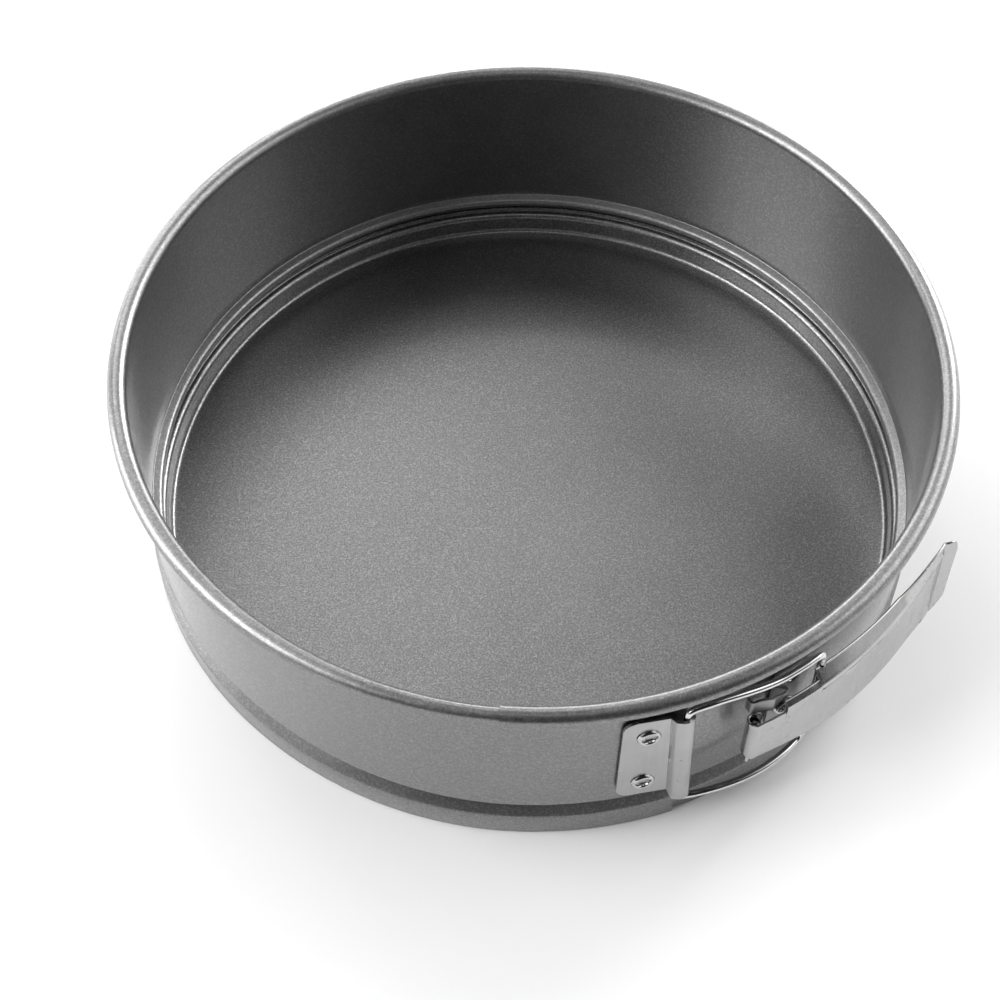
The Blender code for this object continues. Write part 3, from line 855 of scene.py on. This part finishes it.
def cut_notches(made, look):
    """The notch in each flange that the bail sits in, cut through the lever."""
    degree = math.degrees(1 / BAIL_ARC_RADIUS)
    deep = around(HOOK_BEARING, BAIL_ARC_RADIUS - 0.1 * MM)
    outward = HOOK_BEARING - 90
    slot = arc(deep, NOTCH_HALF, outward - 90, outward + 90, 16)
    back = FLANGE_INNER - 2 * MM
    slot += [around(HOOK_BEARING + side * NOTCH_HALF * degree, back) for side in (1, -1)]
    mesh = bmesh.new()
    low = [mesh.verts.new((*point, LEVER_BOTTOM - 1 * MM)) for point in slot]
    high = [mesh.verts.new((*point, LEVER_TOP + 2 * MM)) for point in slot]
    mesh.faces.new(low)
    mesh.faces.new(high)
    for index in range(len(slot)):
        after = (index + 1) % len(slot)
        mesh.faces.new((low[index], low[after], high[after], high[index]))
    cutter = finish("notch_cutter", mesh, look)
    change = made.modifiers.new("Notches", "BOOLEAN")
    change.operation = "DIFFERENCE"
    change.solver = "EXACT"
    change.object = cutter
    bake(made)
    bpy.data.objects.remove(cutter)


def bake(made):
    """Applies an object's modifiers to its mesh."""
    graph = bpy.context.evaluated_depsgraph_get()
    data = bpy.data.meshes.new_from_object(made.evaluated_get(graph))
    made.modifiers.clear()
    made.data = data
    data.shade_smooth()
    data.set_sharp_from_angle(angle=math.radians(SHARP_ANGLE))


def bail_leg(start, end, bow):
    """Points along one of the bail's curved legs, from the catch knuckle to the lever's notch."""
    points = []
    reach = HOOK_BEARING - BAIL_BEARING
    for bearing in between(BAIL_BEARING, HOOK_BEARING, 36):
        share = smooth_share((bearing - BAIL_BEARING - BAIL_STRAIGHT) / BAIL_SLOPE)
        radius = BAIL_RADIUS + (BAIL_ARC_RADIUS - BAIL_RADIUS) * share
        radius += bow * math.sin(math.pi * (bearing - BAIL_BEARING) / reach) ** 0.8
        points.append(Vector((*around(bearing, radius), start + (end - start) * share)))
    return points


def wire_bail(look):
    """A closed loop of wire from the catch knuckle, past both sides of the lever, to its notches."""
    low = bail_leg(BAIL_BOTTOM, BAIL_BOTTOM, BAIL_BOW)
    high = bail_leg(BAIL_TOP, BAIL_TOP_END, 0)
    heights = between(BAIL_BOTTOM + BAIL_BEND, BAIL_TOP - BAIL_BEND, 10)
    reach = 4
    points = [Vector((low[0].x, low[0].y, height)) for height in heights[::-1][:-1]]
    points += quarter(low[0], low[reach], 1)
    points += low[reach + 1 : -reach - 1]
    points += quarter(low[-1], low[-reach - 1], 1)[::-1]
    heights = between(BAIL_BOTTOM + BAIL_BEND, BAIL_TOP_END - BAIL_BEND, 10)
    points += [Vector((low[-1].x, low[-1].y, height)) for height in heights[1:-1]]
    points += quarter(high[-1], high[-reach - 1], -1)
    points += high[reach + 1 : -reach - 1][::-1]
    points += quarter(high[0], high[reach], -1)[::-1][:-1]
    made = tube("bail_wire", points, BAIL_WIRE, 20, look)
    settle(made, "bail", "plated_wire", "wire_bail")


def quarter(corner, towards, up):
    """A quarter bend from the vertical leg at the corner into the leg that runs towards the next point."""
    along = (towards - corner).normalized() * BAIL_BEND
    rise = Vector((0, 0, up * BAIL_BEND))
    points = []
    for step in range(9):
        angle = math.radians(90 * step / 8)
        points.append(corner + rise * (1 - math.sin(angle)) + along * (1 - math.cos(angle)))
    return points


# ---------------------------------------------------------------- studio


def studio_floor():
    mesh = bmesh.new()
    size = FLOOR_SIZE
    corners = [(-size, -size), (size, -size), (size, size), (-size, size)]
    mesh.faces.new([mesh.verts.new((x, y, -FLOOR_DROP)) for x, y in corners])
    floor = finish("studio_floor", mesh, floor_material())


def soft_light(name, azimuth, elevation, size, radiance):
    """A square softbox aimed at the pan."""
    level = math.radians(elevation)
    flat = LIGHT_DISTANCE * math.cos(level)
    place = Vector((*around(180 - azimuth, flat), LIGHT_DISTANCE * math.sin(level)))
    data = bpy.data.lights.new(name, "AREA")
    data.size = size
    data.energy = radiance * math.pi * size**2
    made = bpy.data.objects.new(name, data)
    bpy.context.scene.collection.objects.link(made)
    made.location = place
    made.rotation_euler = (-place).to_track_quat("-Z", "Y").to_euler()


def world():
    """A nearly dark room, a little lighter at the sides: the softboxes give the light."""
    made = bpy.data.worlds.new("studio")
    bpy.context.scene.world = made
    made.use_nodes = True
    nodes = Nodes(made.node_tree)
    place = nodes.add("ShaderNodeTexCoord").outputs["Generated"]
    split = nodes.add("ShaderNodeSeparateXYZ", {"Vector": place})
    sides = nodes.math("ABSOLUTE", split.outputs["X"])
    strength = nodes.ramp(sides, 0.35, 0.95, ROOM_LEVEL, 2 * ROOM_LEVEL)
    background = nodes.add("ShaderNodeBackground", {"Color": (1, 1, 1, 1), "Strength": strength})
    nodes.add("ShaderNodeOutputWorld", {"Surface": background.outputs[0]})


def camera():
    """The camera stands a little to the left of the overlap, looks steeply down and is slightly rolled."""
    elevation = math.radians(CAMERA_ELEVATION)
    away = Vector((*around(CAMERA_BEARING, math.cos(elevation)), math.sin(elevation)))
    forward = -away
    right = forward.cross(Vector((0, 0, 1))).normalized()
    up = right.cross(forward)
    roll = math.radians(CAMERA_ROLL)
    level_right = right
    right = level_right * math.cos(roll) + up * math.sin(roll)
    up = up * math.cos(roll) - level_right * math.sin(roll)
    data = bpy.data.cameras.new("camera")
    made = bpy.data.objects.new("camera", data)
    bpy.context.scene.collection.objects.link(made)
    bpy.context.scene.camera = made
    data.sensor_width = 36
    data.lens = CAMERA_LENS
    data.dof.use_dof = False
    data.clip_start = 0.01
    data.clip_end = 50
    data.shift_x = CAMERA_SHIFT[0]
    data.shift_y = CAMERA_SHIFT[1]
    turn = Matrix((right, up, -forward)).transposed()
    made.matrix_world = Matrix.Translation(away * CAMERA_DISTANCE) @ turn.to_4x4()


def main():
    band(coating("band_coating", COAT_LEVEL, COAT_ROUGH, 0.75, 0.16, 2600))
    base_plate(coating("base_coating", COAT_LEVEL * 0.97, COAT_ROUGH - 0.08, 0.6, 0.34, 2000))
    catch_bracket(plated("catch_plating", 0.43, 0.22))
    # The hinge bracket's plating gets a low level (0.26, against 0.43 to 0.62 for the other plated parts) as
    # painted shade, for the shade it lies in under the rim bead, the bail wire and the lever.
    hinge_bracket(plated("hinge_plating_shade_darkened", 0.26, 0.3))
    steel = plated("rivet_plating", 0.55, 0.15)
    rivets(steel)
    hinge_pin(steel)
    lever(plated("lever_plating", 0.44, 0.24))
    wire_bail(plated("wire_plating", 0.62, 0.14))
    studio_floor()
    world()
    for softbox in SOFTBOXES:
        soft_light(*softbox)
    camera()
    view = bpy.context.scene.view_settings
    view.view_transform = "Standard"
    view.look = "None"


main()
